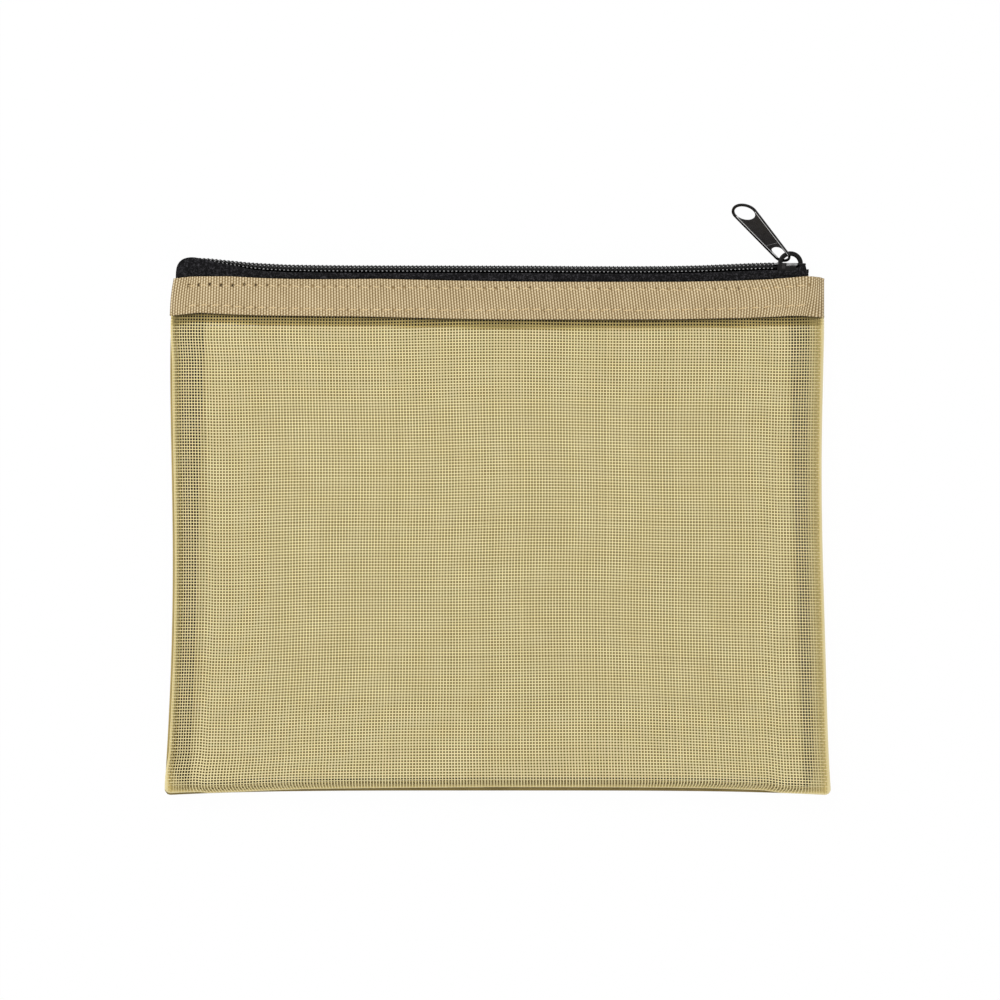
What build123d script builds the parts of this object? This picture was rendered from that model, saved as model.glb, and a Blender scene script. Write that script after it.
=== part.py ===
from build123d import *
from math import cos, radians, sin, tan
import os

# A zipped document wallet for A5 sheets, lying on its back. X runs along the zip, Y from the bottom seam
# towards the zip, Z up. The origin is the middle of the back panel's flat face. Millimetres.

# Pouch: two woven mesh panels, sewn face to face and turned, so that the seam is a fold at mid thickness
pouch_height = 180.0  # lower corners to the binding's top edge
top_width = 228.8  # at the binding
bottom_width = 233.4  # at the lower corners
half_thickness = 6.0
side_sag = 1.25  # how far each side seam draws in between its ends
bottom_sag = 1.2  # the same along the bottom seam
corner_radius = 3.0
panel_wall = 0.5
seam_allowance = 3.4  # turned in along the sides and the bottom
seam_gap = 0.1  # between the two allowances
side_round = 10.5  # how far in from a side seam the panel becomes flat
bottom_round = 6.5  # the same from the bottom seam
edge_inset_shares = (0.0, 0.04, 0.125, 0.305, 0.59, 1.0)  # of the round, from the seam to the flat
edge_height_shares = (0.0, 0.3, 0.55, 0.77, 0.9, 1.0)  # of the half thickness, at the same places

# Neck: the panels' upper ends, drawn in under the binding
neck_draw = 1.2  # how much narrower each side of the neck is
neck_run = 3.0  # height over which it draws in
neck_below = 1.4  # from the binding's top edge down to the panels' raw edge
dip_run = 8.0  # height over which a panel dips under the binding

# Binding: a ribbed tape across the top of each panel, with its ends caught in the side seams
binding_height = 13.5
binding_wall = 0.9
binding_drop = 0.5  # its outer face lies this much below the panel's flat
layer_gap = 0.1  # between one layer of cloth and the next

# Stitching: two rows along each binding and one seam round the sides and the bottom
stitch_pitch = 4.0
stitch_width = 0.6
stitch_rise = 0.4
stitch_dip = 0.1  # what is left of the rise at a needle hole
stitch_ramp_share = 0.15  # of the pitch, sloping at each end of a stitch
upper_row_drop = 2.6  # from the binding's top edge
lower_row_rise = 3.4  # from the binding's lower edge
stitch_end_gap = 8.0  # from the end of a row to the binding's end
seam_thread_inset = 2.0  # from the fold to the seam thread
seam_thread_width = 0.5
seam_thread_height = 0.4

# Zip: a coil chain that faces away from the pouch, with its tapes turned down inside the panels
chain_rise = 4.0  # from the binding's top edge to the chain's middle, at the closed slider
chain_climb_deg = 0.6  # the chain climbs towards its lower end, at the left
chain_width = 6.0
chain_height = 2.4
chain_left_gap = 7.4  # from the binding's left end to the first tooth
tooth_pitch = 1.44
tooth_root = 0.44
tooth_tip = 0.6
tooth_overlap = 0.9  # how far a tooth reaches across the middle
rail_width = 0.7
tape_wall = 0.5
tape_edge = 1.5  # from the middle of the chain to each tape's edge
tape_bend_room = 0.25  # from the slider's lower plate to each tape
tape_shoulder = 0.9  # from the binding's top edge to where the tapes start to draw in
tape_tuck = 0.8  # below that edge, where they are fully drawn in
tape_low_drop = 1.8  # from the binding's lower edge down to the tapes' lower edges
tape_left_gap = 1.7  # from the binding's left end to the folded end of the tapes
tape_tuck_gap = 4.6  # the same for what is tucked under the binding, at both ends
tape_fold_radius = 5.0  # the tapes' folded end turns this corner

# Slider: two plates joined by a post that parts the chain, with flanges that hold it together
slider_length = 11.3
slider_end_gap = 5.9  # from the closed slider to the binding's right end
slider_clearance = 0.2  # from the chain to the upper plate
tape_clearance = 0.25  # from the tapes to the plate and the flanges
plate_wall = 0.8
upper_half_width = 4.6
lower_half_width = 3.9
plate_radius = 0.7
plate_length_shares = (-0.5, -0.4, 0.22, 0.5)  # of the slider's length, tail to nose
plate_width_shares = (0.7, 0.9, 1.0, 0.68)  # of the plate's half width, at the same places
flange_wall = 0.7
flange_gap = 0.3  # from the chain's side to a flange
flange_length_shares = (-0.4, 0.2)  # of the slider's length
post_length_shares = (0.14, 0.26, 0.45)  # of the slider's length
post_half_width = 0.8
post_heel_share = 0.6  # of its half width, at the nose
chain_end_gap = 0.4  # from the last tooth to the post

# Bail: an arch over the upper plate
bail_radius = 4.3
bail_wire = 1.4
bail_depth = 1.3
bail_offset = 0.35  # towards the nose
bail_sink = 0.1  # the arch's centre lies this much below the plate's top
bail_edge = 0.4

# Pull: a tapered plate that hangs from the bail by a slot and has a finger hole at its free end
pull_length = 31.8
pull_wide_radius = 4.7
pull_narrow_radius = 3.1
pull_wall = 0.8
pull_hole_radius = 3.7
pull_slot_width = 4.4
pull_slot_corner = 1.2
pull_slot_length = 6.4
pull_slot_margin = 0.9  # metal between the slot and the narrow end
pull_rim = 0.9
pull_recess = 0.18
pull_recess_gap = 1.2  # from the slot to the recess
pull_heading_deg = 132.4  # of its free end, from +X
pull_rise_deg = 34.6  # its free end stands up towards the viewer
pull_twist_deg = 47.0  # about its own length
hook_deg = 139.0  # where on the arch it hangs
hook_gap = 0.7  # from the wire to the slot's end
hook_side = 0.3  # from the wire to the middle of the slot, across it

# Stops at the upper end of the chain
stop_gap = 0.3
stop_length = 0.7
stop_rise = 1.3  # above the tape
stop_reach = 1.5  # from the tape's edge outwards
stop_wall = 0.4
stop_clearance = 0.05  # from a stop to its tape

# Filler: a card folded at the bottom, which keeps the pouch in shape
card_wall = 0.6
card_gap = 0.3  # from its leaves to the panels
card_top_width = 205.0
card_bottom_width = 215.2
card_top_drop = 15.9  # from the binding's top edge
card_bottom_rise = 5.4  # from the pouch's lower corners
card_bend_drop = 8.2  # below its top edges, where the leaves lean together
card_lean = 1.3

overrun = 4.0

# Places that follow from these sizes
bottom_y = -pouch_height / 2
binding_top = pouch_height / 2
binding_low = binding_top - binding_height
binding_z = half_thickness - binding_drop
neck_z = binding_z - binding_wall - layer_gap
tape_z = neck_z - panel_wall - layer_gap
binding_end = top_width / 2
slider_x = binding_end - slider_end_gap - slider_length / 2
chain_y = binding_top + chain_rise
lift = Pos(0, 0, half_thickness)
middle = Plane.XY
zip_place = Location((slider_x, chain_y, 0), (0, 0, -chain_climb_deg))
back_of_tape = chain_height / 2 + tape_wall


def edge_levels(round_width):
    """How a panel's edge rises from its seam: (inset, height) from the fold to the flat."""
    shares = zip(edge_inset_shares, edge_height_shares)
    return [(round_width * inset, half_thickness * height) for inset, height in shares]


def one_wall_in(levels, wall):
    """The same edge, one wall further inside."""
    points = [Vector(inset, height) for inset, height in levels]
    runs = [(after - before).normalized() for before, after in zip(points, points[1:])]
    normals = [Vector(run.Y, -run.X) for run in runs]
    pairs = zip([normals[0], *normals], [*normals, normals[-1]])
    moved = [p + (a + b) * (wall / (1 + a.dot(b))) for p, (a, b) in zip(points, pairs)]
    return [(p.X, p.Y) for p in moved]


def outline(side_inset, bottom_inset, top):
    """The pouch seen from the front, drawn in by the insets, with its neck carried up to top."""
    low = bottom_y + bottom_inset
    low_x = bottom_width / 2 - side_inset
    high_x = top_width / 2 - side_inset
    neck_x = high_x - neck_draw
    neck_low = binding_low - neck_run
    waist = ((low_x + high_x) / 2 - side_sag, (low + neck_low) / 2)
    bottom = ThreePointArc((-low_x, low), (0, low + bottom_sag), (low_x, low))
    right = ThreePointArc((low_x, low), waist, (high_x, neck_low))
    left = ThreePointArc((-high_x, neck_low), (-waist[0], waist[1]), (-low_x, low))
    neck = [(high_x, neck_low), (neck_x, binding_low), (neck_x, top)]
    neck = Polyline(*neck, *[(-x, y) for x, y in reversed(neck)])
    face = make_face([*bottom.edges(), *right.edges(), *neck.edges(), *left.edges()])
    return fillet(face.vertices().group_by(Axis.Y)[0], corner_radius)


def pillow(levels_side, levels_bottom, top):
    """A solid that rises through one outline for each level."""
    steps = zip(levels_side, levels_bottom)
    faces = [Pos(0, 0, side[1]) * outline(side[0], bottom[0], top) for side, bottom in steps]
    return loft(faces, ruled=True)


def dipped(solid, flat_z, low_z, top):
    """The solid cut down towards the binding, where the panel dips under it."""
    dip_start = binding_low - dip_run
    above = half_thickness + overrun
    side = Plane.YZ * make_face(
        Polyline(
            (bottom_y - overrun, -overrun),
            (bottom_y - overrun, above),
            (dip_start, above),
            (dip_start, flat_z),
            (binding_low, low_z),
            (top, low_z),
            (top, -overrun),
            close=True,
        )
    )
    return solid & extrude(side, bottom_width, both=True)


def make_panel():
    """The front mesh panel, a thin shell with its seam allowance turned in."""
    raw_edge = binding_top - neck_below
    fold = seam_gap / 2
    lifted = [[(i, max(h, fold)) for i, h in edge_levels(r)] for r in (side_round, bottom_round)]
    outer = dipped(pillow(*lifted, binding_top + overrun), half_thickness, neck_z, raw_edge)
    inside = [one_wall_in(edge_levels(r), panel_wall) for r in (side_round, bottom_round)]
    inside = [[(i, max(h, fold + panel_wall)) for i, h in levels] for levels in inside]
    inner = pillow(*inside, binding_top + overrun)
    inner = dipped(inner, half_thickness - panel_wall, neck_z - panel_wall, raw_edge + overrun)
    mouth = extrude(outline(seam_allowance, seam_allowance, binding_top + overrun), fold + panel_wall)
    return outer - inner - mouth


def binding_outline(half_width, top_z):
    """A binding seen along Y: flat across the panel and rounded down to the side seams."""
    levels = edge_levels(side_round)
    kept = [(i, h) for i, h in levels if h < top_z]
    (i0, h0), (i1, h1) = kept[-1], levels[len(kept)]
    kept.append((i0 + (i1 - i0) * (top_z - h0) / (h1 - h0), top_z))
    right = [(half_width - i, max(h, seam_gap / 2)) for i, h in kept]
    left = [(-x, z) for x, z in reversed(right)]
    return Plane.XZ * make_face(Polyline(*right, *left, close=True))


def make_binding():
    """The ribbed tape on the front panel."""
    outer = extrude(binding_outline(binding_end, binding_z), -binding_height)
    hollow = binding_outline(binding_end - binding_wall, binding_z - binding_wall)
    inner = extrude(Pos(0, -overrun, 0) * hollow, -binding_height - 2 * overrun)
    return Pos(0, binding_low, 0) * (outer - inner)


def make_stitch_row(row_y):
    """One row of lockstitch on the front binding: a thread that dips at each needle hole."""
    reach = binding_end - stitch_end_gap
    count = int(2 * reach / stitch_pitch)
    start = -count * stitch_pitch / 2
    ramp = stitch_pitch * stitch_ramp_share
    top = [(start, stitch_dip)]
    for number in range(count):
        left, right = start + number * stitch_pitch, start + (number + 1) * stitch_pitch
        top += [(left + ramp, stitch_rise), (right - ramp, stitch_rise), (right, stitch_dip)]
    thread = Plane.XZ * make_face(Polyline(*top, (-start, 0), (start, 0), close=True))
    return Pos(0, row_y, binding_z) * extrude(thread, stitch_width / 2, both=True)


def make_seam_thread():
    """The thread of the turned seam, lying on the front panel's allowance inside the pouch."""
    outer = outline(seam_thread_inset, seam_thread_inset, binding_low - neck_run)
    inset = seam_thread_inset + seam_thread_width
    inner = outline(inset, inset, binding_low + overrun)
    band = extrude(outer - inner, seam_thread_height)
    side = Pos(0, binding_low - neck_run - dip_run, 0)
    keep = Rectangle(2 * bottom_width, pouch_height, align=(Align.CENTER, Align.MAX))
    band = band & side * extrude(keep, seam_thread_height)
    return Pos(0, 0, seam_gap / 2 + panel_wall) * band


def make_coil(side):
    """One half of the chain: teeth wider at their tips, held by a rail along the tape."""
    first = -binding_end + chain_left_gap - slider_x
    last = post_length_shares[0] * slider_length - chain_end_gap
    rail_out = chain_width / 2
    rail_in = rail_out - rail_width
    count = int((last - first) / tooth_pitch) - 1
    points = [(first, rail_out), (first, rail_in)]
    for number in range(count):
        x = first + (number + (0.5 if side > 0 else 1.0)) * tooth_pitch
        points += [(x - tooth_root / 2, rail_in), (x - tooth_tip / 2, -tooth_overlap)]
        points += [(x + tooth_tip / 2, -tooth_overlap), (x + tooth_root / 2, rail_in)]
    points += [(last, rail_in), (last, rail_out)]
    face = Plane.XZ * make_face(Polyline(*[(x, side * z) for x, z in points], close=True))
    return zip_place * extrude(face, chain_height / 2, both=True)


def chain_level(x):
    """The height of the chain's middle at x."""
    return chain_y + (slider_x - x) * tan(radians(chain_climb_deg))


def tape_section(x):
    """A tape's cross-section at x: under the chain, out past the slider, and down inside the neck."""
    top = chain_level(x) - chain_height / 2 / cos(radians(chain_climb_deg))
    wide = lower_half_width + tape_bend_room + tape_wall
    path = [(top, wide), (binding_top + tape_shoulder, wide), (binding_top - tape_tuck, tape_z)]
    path.append((binding_low - tape_low_drop, tape_z))
    inner = [(y, z - tape_wall) for y, z in reversed(path[1:])]
    inner += [(top - tape_wall, wide - tape_wall), (top - tape_wall, tape_edge)]
    return Plane((x, 0, 0), (0, 1, 0), (1, 0, 0)) * make_face(
        Polyline((top, tape_edge), *path, *inner, close=True)
    )


def make_tape():
    """The front half of the zip's tape, with a folded end at the left."""
    left = -binding_end + tape_left_gap
    right = binding_end - tape_tuck_gap
    tape = loft([tape_section(left), tape_section(right)], ruled=True)
    tucked = Box(overrun, pouch_height, 2 * half_thickness, align=(Align.MAX, Align.MAX, Align.MIN))
    tape -= Pos(-right, binding_top + layer_gap, 0) * tucked
    top = chain_level(left) - chain_height / 2
    corner = Box(2 * tape_fold_radius, 2 * tape_fold_radius, 2 * half_thickness + overrun)
    turn = Cylinder(tape_fold_radius, 2 * half_thickness + overrun)
    bend = Pos(left + tape_fold_radius, top - tape_fold_radius, 0)
    quarter = Pos(left, top, 0) * corner
    return tape - (quarter - bend * turn - bend * Pos(tape_fold_radius, 0, 0) * corner
                   - bend * Pos(0, -tape_fold_radius, 0) * corner)


def plate(half_width, low):
    """A slider plate, narrow at the tail and the nose, standing on the height low over the chain."""
    ends = zip(plate_length_shares, plate_width_shares)
    right = [(slider_length * length, half_width * width) for length, width in ends]
    face = make_face(Polyline(*right, *[(x, -z) for x, z in reversed(right)], close=True))
    face = fillet(face.vertices(), plate_radius)
    return extrude(Plane.XZ.offset(-low) * face, -plate_wall)


def make_slider():
    """The slider's body."""
    upper = chain_height / 2 + slider_clearance
    lower = -back_of_tape - tape_clearance
    body = plate(upper_half_width, upper) + plate(lower_half_width, lower - plate_wall)
    flange_low = -chain_height / 2 + tape_clearance
    tail, nose = [slider_length * share for share in flange_length_shares]
    flange_in = chain_width / 2 + flange_gap
    for side in (1, -1):
        flange = Box(nose - tail, upper - flange_low, flange_wall)
        z = side * (flange_in + flange_wall / 2)
        body += Pos((tail + nose) / 2, (upper + flange_low) / 2, z) * flange
    tip, belly, heel = [slider_length * share for share in post_length_shares]
    heel_z = post_half_width * post_heel_share
    post = [(tip, 0), (belly, post_half_width), (heel, heel_z), (heel, -heel_z), (belly, -post_half_width)]
    post = Plane.XZ.offset(-lower) * make_face(Polyline(*post, close=True))
    return zip_place * (body + extrude(post, lower - upper))


plate_top = chain_height / 2 + slider_clearance + plate_wall
arch_centre = Vector(bail_offset, plate_top - bail_sink, 0)


def make_bail():
    """The arch that the pull hangs from, standing on the upper plate."""
    ring = Circle(bail_radius) - Circle(bail_radius - bail_wire)
    keep = Rectangle(2 * bail_radius, bail_radius, align=(Align.CENTER, Align.MIN))
    arch = extrude(ring & Pos(0, bail_sink, 0) * keep, bail_depth / 2, both=True)
    arch = fillet(arch.edges().filter_by(GeomType.CIRCLE), bail_edge)
    return zip_place * Pos(*arch_centre) * arch


def two_circles(first_x, first_radius, second_x, second_radius):
    """The outline round two circles in line."""
    both = Pos(first_x, 0) * Circle(first_radius) + Pos(second_x, 0) * Circle(second_radius)
    return make_hull(both.edges())


def make_pull():
    """The pull: a tapered plate with raised rims, a slot for the bail and a finger hole."""
    wide_x = pull_length - pull_wide_radius
    blank = two_circles(pull_narrow_radius, pull_narrow_radius, wide_x, pull_wide_radius)
    slot = RectangleRounded(pull_slot_length, pull_slot_width, pull_slot_corner)
    slot = Pos(pull_slot_margin + pull_slot_length / 2, 0) * slot
    hole = Pos(wide_x, 0) * Circle(pull_hole_radius)
    body = extrude(blank - slot - hole, pull_wall / 2, both=True)
    recess = two_circles(pull_narrow_radius, pull_narrow_radius - pull_rim, wide_x, pull_wide_radius - pull_rim)
    start = pull_slot_margin + pull_slot_length + pull_recess_gap
    keep = Rectangle(wide_x - start, 2 * pull_wide_radius, align=(Align.MIN, Align.CENTER))
    recess = extrude(recess & Pos(start, 0) * keep, pull_recess)
    floor = pull_wall / 2 - pull_recess
    for turn in (0, 180):
        body -= Rot(turn, 0, 0) * Pos(0, 0, floor) * recess
    heading, rise, twist = radians(pull_heading_deg), radians(pull_rise_deg), radians(pull_twist_deg)
    along = Vector(cos(rise) * cos(heading), cos(rise) * sin(heading), sin(rise))
    level = Vector(-sin(heading), cos(heading), 0)
    upright = along.cross(level)
    face_out = upright * cos(twist) + level * sin(twist)
    wire = bail_radius - bail_wire / 2
    angle = radians(hook_deg)
    hook = zip_place * Pos(*arch_centre) * Pos(wire * cos(angle), wire * sin(angle), 0)
    hook_x = pull_slot_margin + hook_gap + bail_wire / 2
    return Plane(hook.position, along, face_out).location * Pos(-hook_x, -hook_side, 0) * body


def make_stops():
    """Two metal clips round the tapes' edges, where the closed slider stops."""
    near = slider_length / 2 + stop_gap
    low = -back_of_tape - stop_wall
    high = -chain_height / 2 + stop_rise
    clip = Box(stop_length, high - low, stop_reach + stop_wall, align=(Align.MIN, Align.MIN, Align.MIN))
    slot_height = tape_wall + 2 * stop_clearance
    slot = Box(stop_length + overrun, slot_height, stop_reach + overrun, align=(Align.MIN, Align.MIN, Align.MIN))
    clip = Pos(near, low, tape_edge - stop_wall) * clip
    clip -= Pos(near - overrun / 2, -back_of_tape - stop_clearance, tape_edge - stop_clearance) * slot
    return zip_place * (clip + mirror(clip, about=middle))


def make_card():
    """The filler card: two leaves and a round fold along the bottom."""
    leaf = half_thickness - panel_wall - card_gap
    top = binding_top - card_top_drop
    low = bottom_y + card_bottom_rise
    bend = top - card_bend_drop
    fold = low + leaf

    def leaf_side(z):
        """One face of the folded card, from its front top edge round the fold to its back one."""
        front = Polyline((top, z - card_lean), (bend, z), (fold, z))
        turn = ThreePointArc((fold, z), (fold - z, 0), (fold, -z))
        back = Polyline((fold, -z), (bend, -z), (top, card_lean - z))
        return [*front.edges(), *turn.edges(), *back.edges()]

    inner_z = leaf - card_wall
    ends = [Line((top, s * (leaf - card_lean)), (top, s * (inner_z - card_lean))) for s in (1, -1)]
    face = Plane.YZ * make_face([*leaf_side(leaf), *leaf_side(inner_z), *ends])
    folded = extrude(face, card_bottom_width, both=True)
    corners = [(card_top_width / 2, top), (card_bottom_width / 2, low)]
    plan = make_face(Polyline(*corners, *[(-x, y) for x, y in reversed(corners)], close=True))
    return folded & extrude(plan, 2 * half_thickness, both=True)


panel, binding, tape = make_panel(), make_binding(), make_tape()
upper_row = make_stitch_row(binding_top - upper_row_drop)
lower_row = make_stitch_row(binding_low + lower_row_rise)
seam_thread = make_seam_thread()
nodes = {
    "slider_body": make_slider(),
    "slider_bail": make_bail(),
    "pull_tab": make_pull(),
    "filler_card": make_card(),
    "front_coil": make_coil(1),
    "back_coil": make_coil(-1),
    "top_stops": make_stops(),
}
mirrored = {
    "panel": panel,
    "binding": binding,
    "zip_tape": tape,
    "upper_stitch": upper_row,
    "lower_stitch": lower_row,
    "seam_thread": seam_thread,
}
for name, solid in mirrored.items():
    nodes["front_" + name] = solid
    nodes["back_" + name] = mirror(solid, about=middle)

os.makedirs("parts", exist_ok=True)
for name, solid in nodes.items():
    export_step(lift * solid, f"parts/{name}.step")
hinge = lift * zip_place * Pos(*arch_centre)
print("pull hinge axis through", [round(v, 3) for v in hinge.position])
print("slide axis", -round(cos(radians(chain_climb_deg)), 6), round(sin(radians(chain_climb_deg)), 6))
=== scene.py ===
import math
import bmesh
import bpy
import numpy as np
from mathutils import Matrix, Vector


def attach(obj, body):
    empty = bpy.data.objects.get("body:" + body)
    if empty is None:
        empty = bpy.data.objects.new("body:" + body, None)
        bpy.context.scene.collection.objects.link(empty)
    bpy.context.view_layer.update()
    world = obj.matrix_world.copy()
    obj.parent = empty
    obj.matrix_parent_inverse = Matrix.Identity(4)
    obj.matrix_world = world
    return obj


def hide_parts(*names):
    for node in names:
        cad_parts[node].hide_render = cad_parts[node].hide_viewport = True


# A zipped mesh document wallet, lying on its back under soft studio light. Lengths below are in millimetres
# and are turned to metres where a mesh is made. X runs along the zip, Y from the bottom seam to the zip and
# Z up.

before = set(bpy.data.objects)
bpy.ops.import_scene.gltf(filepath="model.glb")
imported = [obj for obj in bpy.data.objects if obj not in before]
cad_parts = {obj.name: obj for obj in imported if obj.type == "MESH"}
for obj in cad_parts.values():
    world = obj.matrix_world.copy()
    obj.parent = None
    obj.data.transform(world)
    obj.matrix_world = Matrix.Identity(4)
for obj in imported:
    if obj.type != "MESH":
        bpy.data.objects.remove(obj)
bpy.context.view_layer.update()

MM = 0.001
MIDDLE = 6.0  # height of the plane that the seams lie in
chance = np.random.default_rng(5)

# Pouch outline
TOP_HALF_WIDTH = 114.4
LOW_HALF_WIDTH = 117.2
LOW_Y = -90.9
HIGH_Y = 90.0
BOTTOM_SAG = 1.65
CORNER_RADIUS = 2.4

# Mesh cloth: an open plain weave. The real yarns are 0.89 mm apart, too fine to show in the render, so they
# are drawn 1.03 mm apart.
YARN_PITCH = 1.03
YARN_WIDTH = 0.41
YARN_CROWN = 0.1  # a yarn's middle stands this much above its edges
YARN_WAVE = 0.12  # how far a yarn rises and falls as it passes over and under
CLOTH_TOP = 79.5  # the cloth runs up under the binding to here
CLOTH_RISE = 5.72  # middle of the weave above the seam plane
# the cloth's section from the seam to the flat, as (inset from the outline, height above the seam plane)
SIDE_SECTION = [
    (0, 0.1), (0.25, 0.8), (0.9, 1.7), (1.8, 2.5), (3.0, 3.2),
    (6.0, 4.7), (8.0, 5.45), (9.5, 5.66), (11.0, 5.72),
]
FOOT_SECTION = [(0, 0.1), (0.3, 1.0), (0.9, 2.3), (1.7, 3.6), (2.6, 4.6), (3.6, 5.2), (5.2, 5.6), (6.5, 5.72)]
SIDE_ROUND = SIDE_SECTION[-1][0]
BOTTOM_ROUND = FOOT_SECTION[-1][0]
# towards the binding the cloth sinks by DIP, between these heights
DIP_START = 67.5
DIP_END = 76.0
DIP = 1.35
FOOT_LEAN = 1.3  # how far the yarns' lower ends are drawn towards the middle

# How far each side seam lies from the middle, at a few heights
EDGE_Y = [90, 83, 76, 48, 13, -12, -36, -68, -85, -90]
LEFT_EDGE = [113.9, 114.4, 114.8, 114.8, 114.4, 114.1, 114.4, 115.8, 116.7, 117.0]
RIGHT_EDGE = [114.5, 114.9, 115.0, 114.5, 114.3, 114.8, 115.4, 116.4, 117.2, 117.5]
left_edge = np.polynomial.Polynomial.fit(EDGE_Y, LEFT_EDGE, 5)
right_edge = np.polynomial.Polynomial.fit(EDGE_Y, RIGHT_EDGE, 5)

# Upper and lower edge of the binding and its two rows of stitches, which wander a little
BAND_X = [
    -114.4, -109, -104.2, -94, -83.2, -72.7, -62, -51.6, -41, -20,
    1, 22, 43, 64, 78.3, 85, 95.8, 103, 108.5, 114.4,
]
BAND_HIGH = [
    90.8, 91.2, 91.27, 91.3, 90.7, 90.37, 90.26, 90.31, 90.4, 89.92,
    89.55, 89.36, 89.35, 89.36, 89.6, 89.75, 90.23, 90.85, 91.45, 91.1,
]
UPPER_ROW = [
    87.7, 88.0, 88.3, 88.25, 88.1, 87.95, 87.76, 87.6, 87.48, 87.24,
    87.0, 86.95, 86.85, 86.75, 86.75, 86.95, 87.5, 87.95, 88.3, 88.0,
]
LOWER_ROW = [
    80.9, 81.2, 81.5, 81.0, 80.5, 80.2, 79.95, 79.9, 79.85, 79.8,
    79.7, 79.7, 79.7, 79.75, 79.9, 80.1, 80.9, 81.35, 81.4, 81.2,
]
BAND_LOW = [
    77.9, 78.33, 78.75, 78.24, 77.85, 77.7, 77.55, 77.5, 77.3, 76.75,
    76.4, 76.4, 76.4, 76.5, 76.8, 76.9, 77.3, 77.65, 77.65, 77.25,
]

# Width of the strip of the back that shows beyond the front's fold along the bottom
STRIP_X = [-117, -106, -103, -95, -70, 0, 75, 95, 101, 117]
STRIP_WIDTH = [0.7, 0.7, 0.25, 0.25, 0.8, 1.3, 1.2, 0.9, 0.2, 0.1]


def wander(x, values):
    """Height at x of one of the lines along the binding."""
    return np.interp(x, BAND_X, values)


def half_width(y, left):
    """How far the left or the right side seam lies from the middle at height y."""
    y = np.clip(y, LOW_Y, HIGH_Y)
    return np.where(left, left_edge(y), right_edge(y))


def bottom_edge(x):
    """Height of the bottom seam at x."""
    return LOW_Y + BOTTOM_SAG * (1 - np.clip(x / LOW_HALF_WIDTH, -1, 1) ** 4)


def smooth_step(value, low, high):
    """0 below low, 1 above high, and a soft ramp between."""
    t = np.clip((value - low) / (high - low), 0, 1)
    return t * t * (3 - 2 * t)


# Materials

def colour(text):
    """A hex sRGB colour as linear RGBA."""
    parts = [int(text[i : i + 2], 16) / 255 for i in (1, 3, 5)]
    return [c / 12.92 if c <= 0.04045 else ((c + 0.055) / 1.055) ** 2.4 for c in parts] + [1.0]


def add(tree, kind, inputs=(), **settings):
    """A node with its settings, and its inputs as (socket, value or link) pairs."""
    made = tree.nodes.new(kind)
    for key, value in settings.items():
        setattr(made, key, value)
    for socket, value in inputs:
        if isinstance(value, bpy.types.NodeSocket):
            tree.links.new(value, made.inputs[socket])
        else:
            made.inputs[socket].default_value = value
    return made


def new_material(name):
    """A material with a bare tree, its output and its Principled shader."""
    made = bpy.data.materials.new(name)
    made.use_nodes = True
    tree = made.node_tree
    tree.nodes.clear()
    shader = add(tree, "ShaderNodeBsdfPrincipled")
    add(tree, "ShaderNodeOutputMaterial", [("Surface", shader.outputs["BSDF"])])
    return made, tree, shader


def per_mm(size):
    """Scale of a texture on Object coordinates, in metres, whose features are size millimetres across."""
    return 1 / (size * MM)


def mixed_colour(tree, factor, first, second):
    """A colour between two others."""
    return add(
        tree, "ShaderNodeMix", [("Factor", factor), (6, first), (7, second)], data_type="RGBA",
    ).outputs[2]


def reckon(tree, operation, first, second):
    """The result of a sum on two numbers."""
    return add(tree, "ShaderNodeMath", [(0, first), (1, second)], operation=operation).outputs[0]


def fibre_cloth(
    name, dark, mid, light, roughness, sheen, patch, grain, depth, specular=0.4, painted_shade_share=0.0, shaded_inside=None
):
    """Dyed polyester yarn: broad uneven dyeing, fine fibre grain and a soft sheen. The share of the colour
    that follows the piece's own shade attribute is painted shade, low in the hollows between yarns or ribs
    and high on their crests. The colour for the inner side, when given, is painted shade there."""
    made, tree, shader = new_material(name)
    place = add(tree, "ShaderNodeTexCoord").outputs["Object"]
    broad = add(tree, "ShaderNodeTexNoise", [("Vector", place), ("Scale", per_mm(patch)), ("Detail", 4.0)])
    fine = add(tree, "ShaderNodeTexNoise", [("Vector", place), ("Scale", per_mm(grain)), ("Detail", 2.0)])
    tone = reckon(tree, "MULTIPLY", reckon(tree, "ADD", broad.outputs["Fac"], fine.outputs["Fac"]), 0.5)
    if painted_shade_share:
        # painted shade, carried by the piece's shade attribute
        painted_shade = add(tree, "ShaderNodeAttribute", attribute_name="shade").outputs["Fac"]
        less = reckon(tree, "MULTIPLY", reckon(tree, "SUBTRACT", tone, 0.5), 1 - painted_shade_share)
        tone = reckon(tree, "ADD", less, painted_shade)
    low, high = (0.0, 1.0) if painted_shade_share else (0.32, 0.68)
    lower = add(tree, "ShaderNodeMapRange", [("Value", tone), ("From Min", low), ("From Max", 0.5)])
    upper = add(tree, "ShaderNodeMapRange", [("Value", tone), ("From Min", 0.5), ("From Max", high)])
    tint = mixed_colour(tree, lower.outputs["Result"], colour(dark), colour(mid))
    tint = mixed_colour(tree, upper.outputs["Result"], tint, colour(light))
    if shaded_inside:
        # painted shade: the cloth's inner side is coloured darker than its outer side
        facing = add(tree, "ShaderNodeNewGeometry").outputs["Backfacing"]
        tint = mixed_colour(tree, facing, tint, colour(shaded_inside))
    tree.links.new(tint, shader.inputs["Base Color"])
    bump = add(
        tree, "ShaderNodeBump",
        [("Height", fine.outputs["Fac"]), ("Strength", 0.5), ("Distance", depth * MM)],
    )
    tree.links.new(bump.outputs["Normal"], shader.inputs["Normal"])
    shader.inputs["Roughness"].default_value = roughness
    shader.inputs["Specular IOR Level"].default_value = specular
    shader.inputs["Sheen Weight"].default_value = sheen
    shader.inputs["Sheen Roughness"].default_value = 0.4
    return made
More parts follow.
